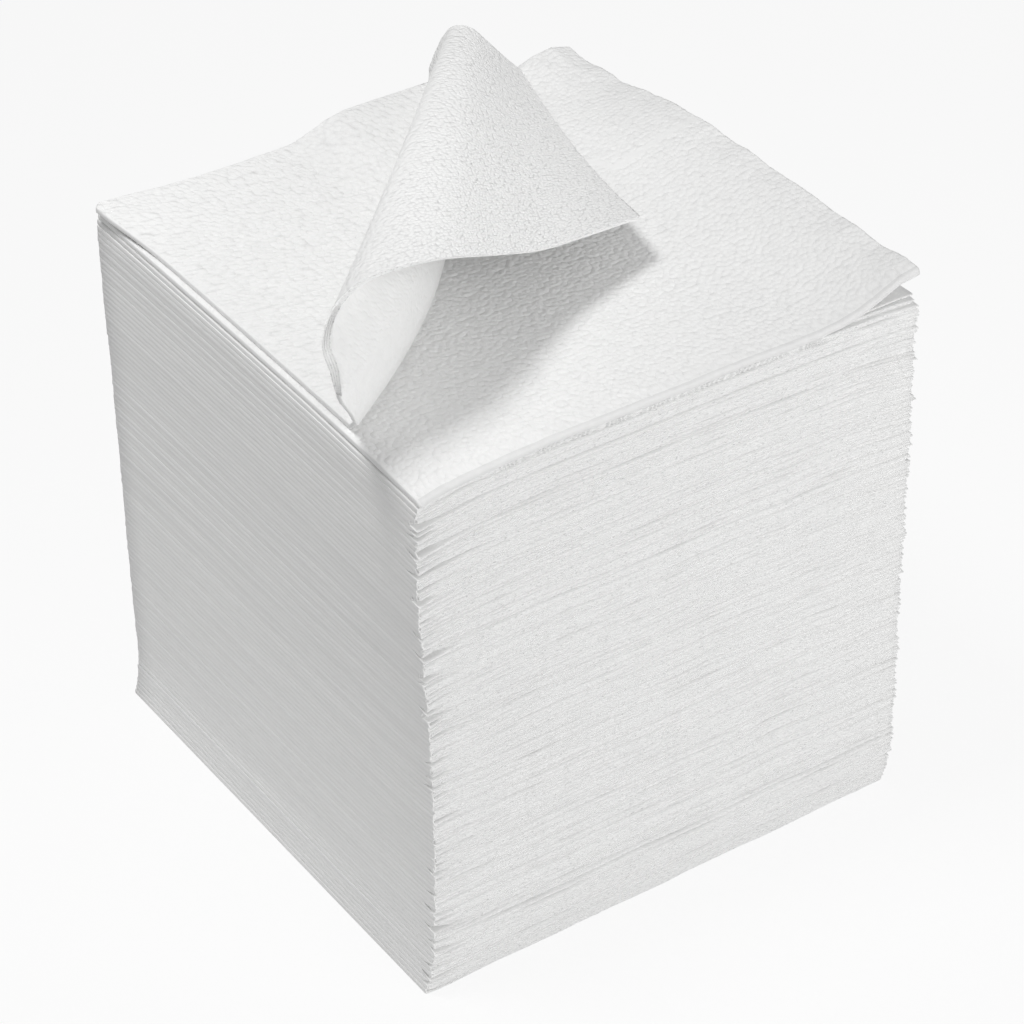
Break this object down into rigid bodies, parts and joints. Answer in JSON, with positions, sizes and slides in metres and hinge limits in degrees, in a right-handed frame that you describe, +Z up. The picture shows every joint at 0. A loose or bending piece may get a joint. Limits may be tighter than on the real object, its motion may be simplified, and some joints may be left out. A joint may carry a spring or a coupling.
{
  "type": "stack of paper napkins",
  "caption": "Square stack of quarter-folded white paper napkins with ragged leaf edges; the top napkin's corner is pushed up into a tapering arch.",
  "frame": {"origin": "centre of the pile on the surface that it stands on", "axes": "+X along the cut front face to the right corner, +Y along the folded left face to the back, +Z up"},
  "size_m": [0.1324, 0.1223, 0.164],
  "materials": {
    "tissue": "matte embossed two-ply tissue"
  },
  "bodies": {
    "root": {"top_napkin": "tissue", "second_napkin": "tissue", "pair_01": "tissue", "pair_02": "tissue", "pair_03": "tissue", "pair_04": "tissue", "pair_05": "tissue", "pair_06": "tissue", "pair_07": "tissue", "pair_08": "tissue", "pair_09": "tissue", "pair_10": "tissue", "pair_11": "tissue", "pair_12": "tissue", "pair_13": "tissue", "pair_14": "tissue", "pair_15": "tissue", "pair_16": "tissue", "pair_17": "tissue", "pair_18": "tissue", "pair_19": "tissue", "pair_20": "tissue", "pair_21": "tissue", "pair_22": "tissue", "pair_23": "tissue", "pair_24": "tissue", "pair_25": "tissue", "pair_26": "tissue", "pair_27": "tissue", "pair_28": "tissue", "pair_29": "tissue", "pair_30": "tissue", "pair_31": "tissue", "pair_32": "tissue", "pair_33": "tissue", "pair_34": "tissue", "pair_35": "tissue", "pair_36": "tissue", "pair_37": "tissue", "pair_38": "tissue", "pair_39": "tissue", "pair_40": "tissue", "pair_41": "tissue", "pair_42": "tissue", "pair_43": "tissue", "pair_44": "tissue", "pair_45": "tissue", "pair_46": "tissue", "pair_47": "tissue", "pair_48": "tissue", "pair_49": "tissue"}
  },
  "joints": []
}
